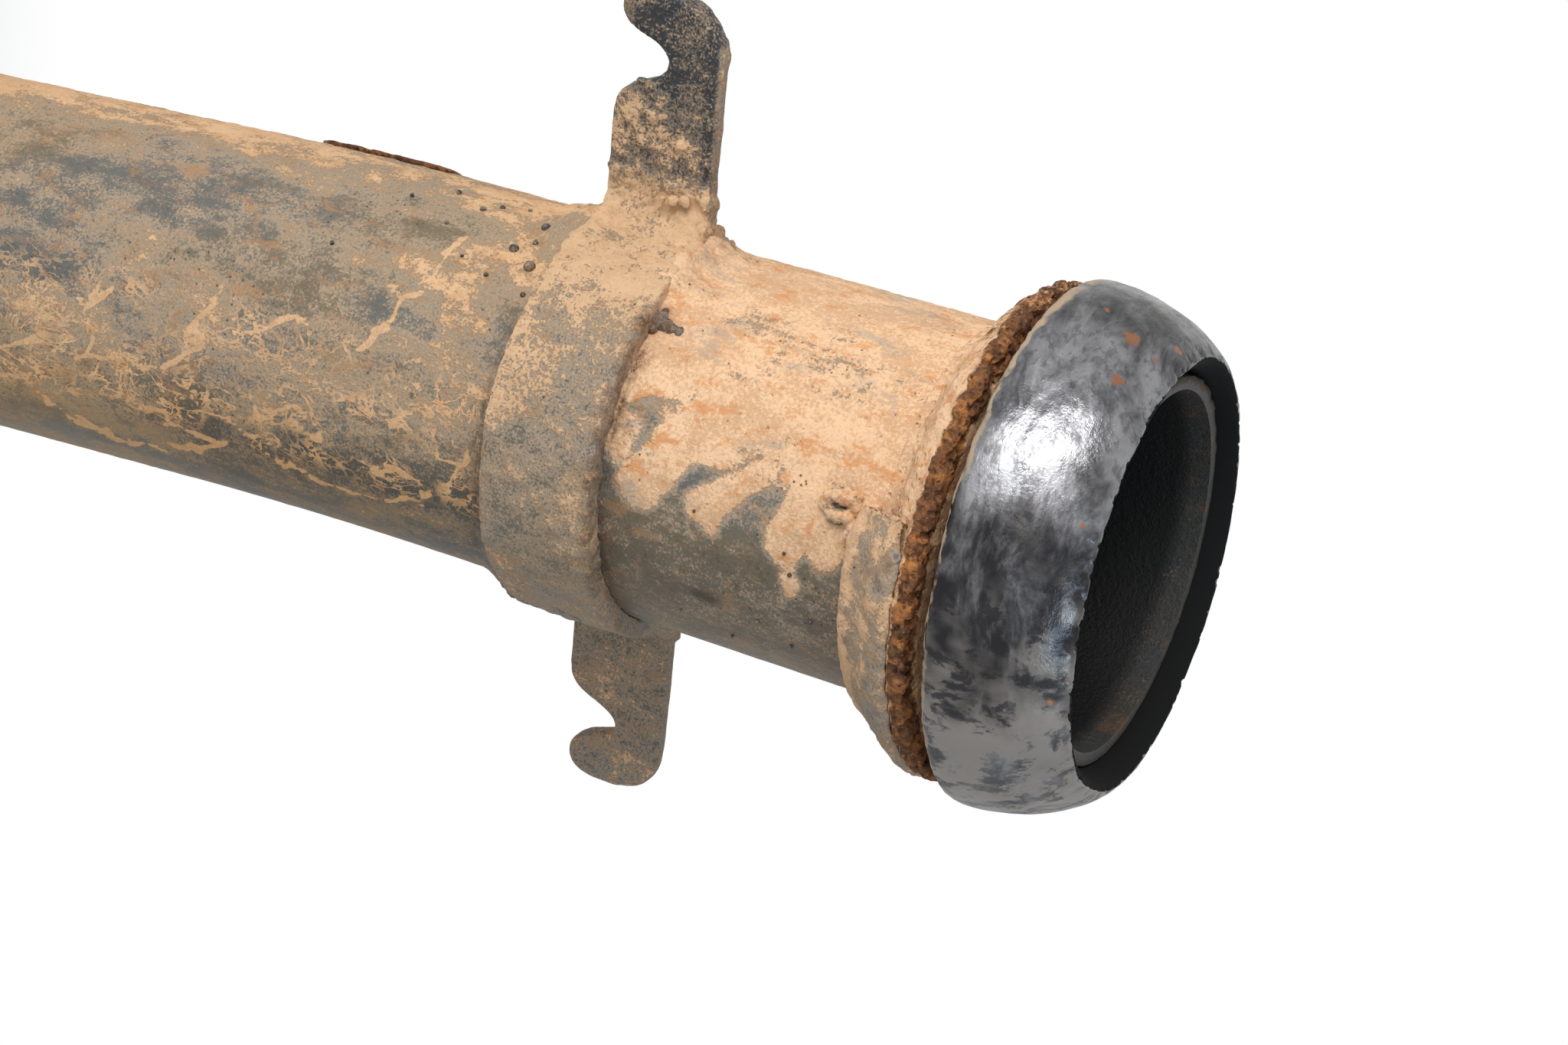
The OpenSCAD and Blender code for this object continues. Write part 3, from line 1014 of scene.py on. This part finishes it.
# %% Cut ears
EAR_EDGE = 0.45
LOWER_EAR = [
    (30.5, 5.6), (30.35, 13.4), (30.5, 14.8), (31.0, 15.9), (32.0, 16.8), (33.2, 17.35),
    (34.7, 18.0), (36.2, 18.7), (37.1, 19.6), (37.35, 20.5), (36.9, 21.4), (35.6, 21.9),
    (34.0, 22.35), (32.6, 23.0), (31.5, 23.85), (30.9, 24.7), (30.7, 25.8),
    (30.95, 27.2), (31.9, 28.3), (33.6, 28.85), (35.9, 29.0), (38.2, 28.8),
    (40.2, 28.3), (41.7, 27.5), (42.8, 26.2), (43.4, 24.4), (43.7, 22.0), (43.9, 14.0),
    (44.05, 5.6),
]
UPPER_EAR = [
    (31.7, 5.6), (31.9, 14.8), (32.2, 16.5), (32.9, 17.5), (34.2, 18.2), (35.6, 18.75),
    (37.0, 19.4), (38.3, 20.3), (38.9, 21.4), (38.4, 22.5), (37.4, 23.4), (36.0, 24.0),
    (34.3, 24.6), (33.0, 25.4), (32.35, 26.4), (32.3, 27.5), (32.8, 28.4),
    (34.2, 28.95), (37.0, 29.1), (39.8, 29.1), (41.7, 28.8), (42.9, 28.0),
    (43.85, 27.1), (44.5, 26.2), (44.95, 25.2), (45.25, 24.0), (45.45, 22.0),
    (45.25, 14.0), (44.95, 5.6),
]


def ear(name, outline, way):
    """One ear of the sheet's thickness, on the side where x has that sign."""
    made = walk(name, [
        (way * (TUBE_R + reach), EAR_FACE, height) for height, reach in outline
    ], closed=False)
    pick_edges(made, lambda a, b: (a - b).length < 3)
    bpy.ops.mesh.subdivide(number_cuts=2)
    pick(made, lambda x, y, z: abs(x) - TUBE_R > 15)
    bpy.ops.mesh.vertices_smooth(factor=0.5, repeat=4)
    bpy.ops.mesh.select_all(action="SELECT")
    bpy.ops.mesh.edge_face_add()
    pull(0, SHEET, 0)
    close_up()
    pick_edges(made, lambda a, b: abs(a.y - b.y) < 0.1 and (a.y < 1 or a.y > 2))
    bpy.ops.mesh.bevel(offset=EAR_EDGE * MM, segments=2)
    bpy.ops.object.mode_set(mode="OBJECT")
    return made


ears = [ear("lower_ear", LOWER_EAR, 1), ear("upper_ear", UPPER_EAR, -1)]
for name, outline in (("lower", LOWER_EAR), ("upper", UPPER_EAR)):
    print(name, "ear reaches", max(reach for _, reach in outline), "mm from the tube")

# %% [markdown]
# ## Mud crumbs that stick to the bracket
# Mud dried in crumbs along the bracket's edges, in the notch, and at the roots
# of the ears. Each crumb is a small ball, squashed a little differently, and
# all of them melt into the sheet when the whole piece gets its even skin.

# %% Crumbs on the bracket
# Place in mm on the outlet's frame: x, y, height, and the crumb's radius
CRUMBS = [
    (-41.2, 0.5, 35.5, 0.42), (-30.3, 0.5, 31.7, 0.3), (-32.6, 0.6, 45.1, 0.38),
    (-28.8, 0.4, 44.8, 0.55), (-28.3, 0.1, 45.2, 0.45), (-29.2, 0.1, 43.9, 0.4),
    (-28.7, -0.6, 42.6, 0.5), (-28.4, -0.8, 41.2, 0.55), (-28.3, -0.9, 39.8, 0.5),
    (-28.5, -0.8, 38.5, 0.45), (-28.2, -1.0, 37.2, 0.4), (-29.6, 0.0, 40.4, 0.35),
    (43.9, 0.4, 34.4, 0.3), (38.0, 0.4, 40.6, 0.3), (-33.8, 0.2, 36.5, 0.32),
    (-36.5, 0.2, 34.5, 0.3), (-37.9, 0.2, 37.9, 0.3), (-31.5, 0.2, 34.8, 0.3),
    (-35.0, 0.2, 41.3, 0.28), (-32.2, 0.2, 38.3, 0.3),
]


def ball(centre, radius, turned=(0, 0, 0), squash=(1, 1, 1), rounds=3):
    """A small ball, squashed along its own axes, with its centre in mm."""
    start_clean()
    bpy.ops.mesh.primitive_ico_sphere_add(
        subdivisions=rounds, radius=radius * MM, location=Vector(centre) * MM,
        rotation=turned, scale=squash,
    )
    return bpy.context.active_object


crumbs = [
    ball((x, y, z), radius, (number, number * 2, 0), (1, 0.8, 1.25), 2)
    for number, (x, y, z, radius) in enumerate(CRUMBS)
]
bracket = join([strip] + ears + crumbs, "bracket")
even_skin(bracket, 0.32, 2)

# %% [markdown]
# ## Wear and mud of the bracket
# The band is dusty all over and muddiest towards the upper ear, whose root is
# buried in mud. The ears are darker towards their tips, and the upper one is
# crumbly with mud on its front. The mud is lumpy, so the same noise both lifts
# the skin and colours it.

# %% Mud on the bracket
spots, radial, angle, z = skin(bracket)
reach = radial - TUBE_R
soft = clouds(spots, 6, 4, 7)
fine = clouds(spots, 1.8, 3, 8)
on_band = step(reach, 5.5, 3.2)
on_ear = 1 - on_band
upper = spots[:, 0] < 0
band_mud = 0.53 - 0.16 * step(angle, 20, 60) + 0.25 * step(angle, -14, -46)
band_mud += 0.16 * step(z, BAND_LOW + 2.2, BAND_LOW + 0.6) * step(angle, 60, 30)
upper_mud = 0.48 - 0.38 * step(reach, 15, 22) + 0.4 * step(reach, 8.5, 5.5)
upper_mud -= 0.40 * step(z, BAND_HIGH - 3.0, BAND_HIGH - 1.6) * step(reach, 8, 10)
upper_mud += 0.25 * step(z, BAND_LOW + 3.0, BAND_LOW + 1.5) * step(reach, 22, 24)
lower_mud = 0.30 + 0.12 * step(reach, 18, 26)
mud = band_mud * on_band + np.where(upper, upper_mud, lower_mud) * on_ear
crumbly = share(1.6 * clouds(spots, 1.2, 3, 9)) * step(reach, 24, 18)
crumbly *= step(spots[:, 0], -21, -23) * step(spots[:, 1], EAR_FACE + 0.5, EAR_FACE + 0.1)
worn = on_band * share(0.4 + 0.8 * clouds(spots, 3.2, 4, 16)) * step(angle, -30, -5)
mud += 0.22 * soft + 0.10 * fine + 0.3 * crumbly
mud -= 0.08 * worn
# The cut edge past the band and the back of the ears have their own mud
edge_face = step(z, BAND_HIGH - 1.25, BAND_HIGH - 0.75) * on_ear
mud = mud * (1 - edge_face) + (0.42 + 0.2 * soft) * edge_face
behind = step(spots[:, 1], EAR_FACE + 1, EAR_FACE + SHEET)
mud = share(mud * (1 - behind) + (0.35 + 0.3 * soft) * behind, 1.1)
print("mud covers", round(float((mud > 0.5).mean()), 2), "of the bracket")

# %% [markdown]
# ## Lumps on the bracket
# The lumps are highest where the mud is thick, and they flatten towards the
# cut edges, so that the sheet still looks thin. Lifting the skin and storing
# the numbers go together: old paint on the ears, and rust and painted shade
# along the band's upper edge at the root of the upper ear.

# %% Lift the bracket's mud and store its numbers
LUMP_DEPTH = 0.36
CRUMBLE_DEPTH = 0.3
near_edge = step(z, BAND_LOW + 1.4, BAND_LOW + 0.5) * on_ear
lumpy = share(0.35 + 0.7 * fine + 0.7 * soft) * (0.4 + 0.6 * step(mud, 0.35, 0.6))
lumpy *= (1 - 0.7 * near_edge) * (1 - 0.75 * on_ear * ~upper)
raise_skin(bracket, lumpy, LUMP_DEPTH)
raise_skin(bracket, crumbly * (1 - near_edge), CRUMBLE_DEPTH)
dark = np.where(upper, 0.95 * step(reach, 6, 10), 0.4 * step(reach, 5, 7))
past_root = on_band * step(angle, -34, -26)
rust = 0.22 * step(z, BAND_HIGH - 1.2, BAND_HIGH - 0.5) * past_root + 0.05 * on_ear * ~upper
# Painted shade in the crease along the band's upper edge at the upper ear's root
crease = 0.45 * step(z, BAND_HIGH - 0.8, BAND_HIGH - 0.2) * past_root
crease *= step(angle, 66, 50)
keep(
    bracket,
    mud=mud,
    dark=dark * (1 - edge_face) + 0.16 * worn,
    rust=share(rust * (1 + 2 * fine), 0.6),
    crease=share(crease * (0.8 + fine), 0.85),
)
put_on(bracket, OUTLET, mud_on_bracket, "hook_bracket")

# %% [markdown]
# ## The stop ring: a flare with a rusted lip
# The ring is a flared collar, welded to the tube, that stops the gasket. Its
# profile is drawn once and turned. Its lip has rusted to flakes: after it gets
# a skin of small faces, coarse noise eats into the lip and fine noise roughens
# it. The flare stays smooth under its mud.

# %% Turn the ring and let it rust
low, high = span("stop_ring")
ring_low, ring_top, RING_R = low[2], high[2], high[0]
lip_low = ring_top - 2.9
ring = turn("rusty_ring", [
    (SEAT_R, ring_low), (22.6, ring_low), (22.8, ring_low + 1.4),
    (23.9, ring_low + 2.3), (25.4, ring_low + 3.2), (26.9, ring_low + 4.2),
    (28.0, lip_low - 0.1), (28.6, lip_low + 0.2), (RING_R - 0.1, lip_low + 0.9),
    (RING_R - 0.1, ring_top - 1.6), (28.4, ring_top - 1.0), (27.6, ring_top - 0.9),
    (SEAT_R, ring_top - 0.9),
], 128)
even_skin(ring, 0.34, 1)
spots, radial, angle, z = skin(ring)
on_lip = step(z, lip_low - 0.2, lip_low + 0.6) * step(radial, 25.5, 27)
off_lip = 1 - on_lip
bites = clouds(spots, 1.8, 4, 11)
flakes = 1.1 * bites + 0.6 * clouds(spots, 0.8, 3, 12)
raise_skin(ring, on_lip * share(0.45 + flakes), 0.30)
raise_skin(ring, on_lip * share(0.10 - flakes), -0.6)
raise_skin(ring, off_lip * step(radial, 22.4, 22.8) * share(0.4 + bites), 0.25)
on_flare = step(radial, 23.2, 24.6) * off_lip * step(angle, -20, -60)
mud = 0.62 * off_lip - 0.36 * on_flare + 0.22 * on_lip * step(angle, -20, -75) + 0.26
keep(ring, mud=share(mud))
put_on(ring, OUTLET, rust_on_ring, "stop_ring")

# %% [markdown]
# ## The collar: a half wrap over the flare
# A second sheet hugs the lower half of the flare. It is the same kind of turned
# profile, spun by only half a turn, with its corners rounded off. Mud dried in
# a raised rim along its edges.

# %% Turn the collar
collar_low = span("collar_saddle")[0][2]
COLLAR_START = 245
COLLAR_ARC = 178
collar = turn("muddy_collar", [
    (SEAT_R, collar_low), (23.7, collar_low), (24.3, collar_low + 0.5),
    (24.9, collar_low + 1.6), (26.0, ring_low + 0.9), (27.4, ring_low + 2.4),
    (28.5, ring_low + 4.0), (RING_R, lip_low - 0.9), (28.5, lip_low - 0.1),
    (SEAT_R + 0.6, ring_low + 0.1), (SEAT_R, ring_low - 0.1),
], 64, COLLAR_ARC, COLLAR_START)
even_skin(collar, 0.3, 3)
spots, radial, angle, z = skin(collar)
first = COLLAR_START - FLANK
from_end = np.minimum(angle - first, first + COLLAR_ARC - angle) * MM_PER_DEGREE
soft = clouds(spots, 4, 4, 14)
fine = clouds(spots, 1.4, 3, 15)
rim = step(z, collar_low + 2.2, collar_low + 0.8) + step(from_end, 3.0, 0.8)
rim = share(rim + 0.5 * soft)
outside = step(radial, SEAT_R + 0.4, SEAT_R + 1.0)
raise_skin(collar, outside * step(from_end, 4.0, 0.3), -0.75)
raise_skin(collar, outside * share(0.3 + 0.7 * fine + 0.5 * rim), 0.35)
mud = 0.50 + 0.40 * rim + 0.30 * soft - 0.10 * step(angle, 30, 70)
keep(collar, mud=share(mud))
put_on(collar, OUTLET, mud_on_collar, "collar_saddle")

# %% [markdown]
# ## The donut gasket
# The gasket sits slightly cocked against the ring. Its rounded face has been
# rubbed to a shine, its back edge is worn soft and dusty, and its mouth is
# chipped and black with soot. It is turned fine enough that the shine runs
# smoothly; only the nicks and the worn edge are lifted out of its skin.

# %% Turn the gasket
GASKET_LEN = 15.0
GASKET_BORE = TUBE_R + 0.35
profile = [
    (GASKET_BORE, 0.0), (26.0, 0.0), (28.6, 0.0), (29.4, 0.15), (29.85, 0.5),
    (30.05, 1.0), (30.12, 1.8), (30.1, 2.8), (30.0, 3.8), (29.82, 4.8), (29.6, 5.9),
    (29.33, 7.0), (29.0, 8.1), (28.6, 9.2), (28.15, 10.3), (27.6, 11.4), (27.0, 12.4),
    (26.3, 13.4), (25.6, 14.2), (24.95, 14.8), (24.5, 15.0), (24.1, 14.9), (23.6, 14.3),
    (23.1, 13.4), (22.75, 12.6), (GASKET_BORE, 11.5), (GASKET_BORE, 6.0),
]
gasket = turn("donut_gasket", profile, 256)
apply_modifier(gasket, "SUBSURF", levels=1, render_levels=1)
spots, radial, angle, z = skin(gasket)
outside = step(radial - GASKET_BORE, 1.2, 2.0)
soft = clouds(spots, 5, 4, 21)
fine = clouds(spots, 1.1, 3, 22)
worn_edge = outside * step(z, 2.0, 0.4)
nicks = outside * step(z, 13.6, 14.8) * step(fine, 0.18, 0.36)
raise_skin(gasket, worn_edge * share(0.5 + 1.2 * fine), -0.12)
raise_skin(gasket, nicks, -0.25)
raise_skin(gasket, outside * share(0.5 + soft), 0.12)
print("gasket", len(spots), "vertices,", int((nicks > 0.5).sum()), "of them in nicks")

# %% [markdown]
# ## Painted reflection, soot and seat of the gasket
# The tone is painted reflection: light where the lamp's highlight falls and
# dark below it, round the face, which is matte beyond and painted lighter there
# as a reflection of the floor. Dust lies along the back edge, soot round the
# mouth, and a few rust spots between them. The finished ring is then tilted
# about its own middle and set on the stop, as it would have slipped there by
# hand.

# %% Store the gasket's numbers and seat it
# Rust spots: height, angle, size in mm
RUST_SPOTS = [
    (9.9, -55, 1.1), (11.0, -41, 0.8), (12.7, -54, 0.5), (13.6, -64, 0.6),
    (6.0, -60, 0.5), (13.2, -6, 0.4), (13.4, 36, 0.45),
]
COCKED = math.radians(1.5)
COCKED_TO = math.radians(152)
uneven = angle + 14 * soft
# Painted highlight: the tone is raised where the lamp's highlight falls and lowered below
# it, as painted reflection
painted_highlight_zone = step(uneven, 6, -18) * step(angle, -62, -46)
tone = 0.29 + 0.41 * painted_highlight_zone - 0.14 * step(uneven, -6, 16) * step(uneven, 56, 34)
# The matte lower side is painted lighter too, a painted reflection of the floor
matte = 0.9 * step(uneven, 12, 52) + 0.2 * step(angle, -52, -80) + 0.2 * soft
dust_to = 0.9 + 0.5 * step(angle, 10, -20) + 1.6 * step(angle, -35, -62)
dust = step((z + 1.0 * soft + 0.3 * fine) / dust_to, 1.3, 0.4)
mouth_soot = step(radial + 0.3 * soft, 24.75, 24.25)
rust = np.zeros(len(spots))
for at, round_at, size in RUST_SPOTS:
    away = (z - at) ** 2 + ((angle - round_at) * 0.5) ** 2
    near = 0.35 * fine * (away < 4 * size ** 2)
    rust = np.maximum(rust, np.exp(-away / size ** 2) + near)
keep(
    gasket,
    tone=tone,
    matte=share(matte),
    mud=share(dust * (0.72 + 0.4 * soft)),
    soot=np.where(z > 11, mouth_soot, step(radial, 24, 23)),
    rust=share(rust),
)
cock = Matrix.Rotation(COCKED, 4, Vector((-math.sin(COCKED_TO), math.cos(COCKED_TO), 0)))
half = GASKET_LEN / 2
centre = Matrix.Translation((0, 0, (ring_top + 1 + half) * MM))
seat = centre @ cock @ Matrix.Translation((0, 0, -half * MM))
put_on(gasket, OUTLET @ seat, metal_of_gasket, "gasket")

# %% [markdown]
# ## The welded patch
# On the muddy upper side a small curved plate is welded over the tube. It is a
# thin strip of the same turned kind. Its edges are bevelled and sunk in weld,
# and it has rusted dark red. It sits on the bend, so it is turned by as much
# as the tube has turned at its middle.

# %% Turn the patch
PATCH_HALF = 9.7
PATCH_ARC = 39
PATCH_COMPASS = 136
PATCH_DROP = 4.2  # from the bend's middle down to the patch's middle, in mm
patch = turn("patch_plate_worn", [
    (SEAT_R, -PATCH_HALF), (SEAT_R + 0.3, -PATCH_HALF),
    (SEAT_R + 0.55, -PATCH_HALF + 1.3), (SEAT_R + 0.6, -PATCH_HALF + 4),
    (SEAT_R + 0.6, PATCH_HALF - 3), (SEAT_R + 0.5, PATCH_HALF - 1.0),
    (SEAT_R + 0.3, PATCH_HALF), (SEAT_R, PATCH_HALF),
], 24, PATCH_ARC, PATCH_COMPASS - PATCH_ARC / 2)
even_skin(patch, 0.25, 3)
spots, radial, angle, z = skin(patch)
fine = clouds(spots, 1.6, 4, 31)
top_side = step(radial, SEAT_R + 0.2, SEAT_R + 0.5)
raise_skin(patch, top_side * share(0.5 + fine), 0.14)
edge = step(np.abs(z), PATCH_HALF - 2.0, PATCH_HALF - 0.5)
keep(patch, mud=share(0.28 * edge + 0.25 * fine + 0.08))
so_far = BEND / 2 - PATCH_DROP / BEND_RADIUS
shift = BEND_RADIUS * (1 - math.cos(so_far))
height = INLET_LEN - bend_run + BEND_RADIUS * math.sin(so_far)
patch_at = Vector((shift * math.cos(HEADING), shift * math.sin(HEADING), height)) * MM
across = Vector((-math.sin(HEADING), math.cos(HEADING), 0))
patch_place = Matrix.Translation(patch_at) @ Matrix.Rotation(so_far, 4, across)
put_on(patch, patch_place, rust_on_patch, "patch_plate")

# %% [markdown]
# ## Weld spatter and lumps
# Beads of molten metal hit the tube when the bracket was welded. They are dark
# little balls half sunk in the mud. Two bigger lumps belong to them: the end of
# the weld at the band's edge, and a weld lump at the collar's corner. They are
# balls too, pressed flat and grown together by one even skin.

# %% Scatter the spatter
# Height and angle on the tube, then the ball's radius in mm
SPATTER = [
    (26.2, -54, 0.62), (28.3, -36, 0.72), (25.0, -41, 0.62), (17.2, -55, 0.40),
    (18.9, -59, 0.34), (12.3, -61, 0.36), (26.7, -46, 0.36), (22.0, -62, 0.30),
    (24.0, -29, 0.30), (29.6, -26, 0.34), (15.0, -44, 0.28), (8.0, -52, 0.28),
    (19.8, -33, 0.26), (3.5, -25, 0.3), (20.5, 12, 0.26), (62, 64, 0.24),
    (66.2, 51, 0.24), (56.0, 58, 0.22), (70.0, 58, 0.26), (64.0, 40, 0.22),
    (73.0, 44, 0.30), (70.5, 30, 0.30), (69.6, 24, 0.26), (58.2, 20, 0.24),
]
# Height, angle, lift and radius in mm of the balls in each lump
DARK_LUMP = [
    (46.6, -30, 0.2, 0.9), (47.6, -29.5, 0.0, 0.8), (48.5, -29, -0.1, 0.7),
    (49.4, -28.5, -0.2, 0.6), (47.0, -32.5, 0.1, 0.7), (46.4, -27.5, 0.1, 0.6),
]
COLLAR_LUMP = [
    (73.6, 4.4, 0.3, 0.95), (74.6, 3.4, 0.5, 0.9), (75.6, 3.2, 0.6, 0.9),
    (76.6, 3.8, 0.6, 0.95), (77.0, 5.6, 0.5, 0.9), (76.4, 8.2, 0.4, 0.95),
    (75.4, 9.0, 0.3, 0.9), (74.3, 8.6, 0.2, 0.8), (73.3, 6.6, 0.2, 0.7),
    (77.2, 10.5, 0.3, 0.8), (76.9, 13.0, 0.2, 0.7),
]


def balls_on_tube(name, rows, squash, size, smooth):
    """Balls on the outlet's skin, joined and given one even skin."""
    balls = []
    for height, angle, lift, radius in rows:
        compass = math.radians(angle + FLANK)
        r = TUBE_R + lift
        centre = (r * math.cos(compass), r * math.sin(compass), height)
        balls.append(ball(centre, radius, squash=squash))
        bpy.ops.object.transform_apply()
    made = join(balls, name)
    even_skin(made, size, smooth)
    return made


beads = [(height, angle, 0.15, radius) for height, angle, radius in SPATTER]
spatter = balls_on_tube("weld_spatter", beads, (1, 1, 1), 0.14, 1)
spots = places(spatter)
mud = share(0.12 + 0.5 * clouds(spots, 1.2, 3, 41))
keep(spatter, mud=mud, dark=np.full(len(spots), 0.8))
put_on(spatter, OUTLET, mud_on_tube, None)

# %% Grow the weld lumps
lumps = balls_on_tube("weld_lumps", DARK_LUMP + COLLAR_LUMP, (1, 1, 0.8), 0.18, 2)
spots, radial, angle, z = skin(lumps)
fine = clouds(spots, 1.2, 4, 42)
raise_skin(lumps, share(0.5 + 1.2 * fine), 0.3)
at_collar = step(z, 60, 62)
at_band = 1 - at_collar
# Painted shade in the gap beside the collar's lump, with less mud there; the lump at the
# band is darkened by half with the same painted shade
gap = hump(z, 75.2, 1.0) * step(radial, 23.3, 22.7)
keep(
    lumps,
    mud=share((0.62 - 0.6 * gap) * at_collar + 0.16 + 0.3 * fine),
    rust=share(at_band * (0.45 + fine), 0.7),
    crease=share(0.8 * gap * at_collar + 0.5 * at_band),
    wiped=at_collar,
)
put_on(lumps, OUTLET, mud_on_tube, None)

# %% [markdown]
# ## Studio
# Plain soft light: a big lamp above the muddy flank, a weaker cool one low on
# the other side, and a pale surround. The surround and the far floor are white
# only to the eye, to mirrors and to glass, so that they add no light.

# %% Floor and surround
FLOOR_R = 1.5
WHITE_FROM = 0.10
WHITE_AT = 0.20
WORLD_LIGHT = 0.40


def looked_at(n):
    """1 for the rays of the eye, of mirrors and of glass, and 0 for other rays."""
    rays = n.add("LightPath", {}).outputs
    return n.most(
        n.most(rays["Is Camera Ray"], rays["Is Glossy Ray"]), rays["Is Transmission Ray"]
    )


start_clean()
bpy.ops.mesh.primitive_circle_add(vertices=96, radius=FLOOR_R, fill_type="NGON")
floor = bpy.context.active_object
floor.name = "floor"
pale, n = new_finish("pale_floor")
n.look("Base Color", (0.85, 0.85, 0.85))
n.look("Roughness", 0.9)
away = n.add("VectorMath", {0: n.place}, operation="LENGTH").outputs["Value"]
whiteness = n.times(n.fade(away, WHITE_FROM, WHITE_AT), looked_at(n))
white = n.add("Emission", {"Color": (1, 1, 1), "Strength": 1.0}).outputs[0]
both = n.add("MixShader", {0: whiteness, 1: n.shader.outputs[0], 2: white})
n.fill(n.tree.nodes["Material Output"].inputs["Surface"], both.outputs[0])
floor.data.materials.append(pale)

world = bpy.data.worlds.new("pale_surround")
scene.world = world
world.use_nodes = True
n = Nodes(world.node_tree)
surround = n.tree.nodes["Background"].inputs
n.fill(surround["Strength"], n.fade(looked_at(n), 0, 1, WORLD_LIGHT, 1.0))
n.fill(surround["Color"], (1, 1, 1))
print("floor white beyond", WHITE_AT, "m, surround gives", WORLD_LIGHT)

# %% [markdown]
# ## Lamps
# Each lamp is a soft square that faces the point the camera looks at. It could
# be placed by coordinates, but saying how far right, up and near it stands, as
# seen beside the camera, keeps the light when the camera moves.

# %% Lamps
def lamp(name, right, up, toward, distance, size, power, colour=(1, 1, 1)):
    """A soft square lamp, placed by its direction as seen beside the camera."""
    light = bpy.data.lights.new(name, "AREA")
    light.shape = "RECTANGLE"
    light.size, light.size_y = size
    light.energy = power
    light.color = colour
    made = bpy.data.objects.new(name, light)
    scene.collection.objects.link(made)
    way = (camera_right * right + camera_up * up + back * toward).normalized()
    across = camera_up.cross(way).normalized()
    facing = Matrix((across, way.cross(across), way)).transposed().to_4x4()
    made.matrix_world = Matrix.Translation(LOOK_AT + way * distance) @ facing
    print("lamp", name, power, "W at", distance, "m")


lamp("key", 0.05, 0.60, 0.80, 0.9, (0.62, 0.21), 5.9)
lamp("key_low", 0.0, 0.18, 0.98, 1.1, (0.35, 0.10), 0.6)
lamp("low_fill", 0.54, -0.55, 0.64, 0.9, (0.15, 0.28), 2.1, (0.62, 0.81, 1.0))
scene.view_settings.view_transform = "Standard"
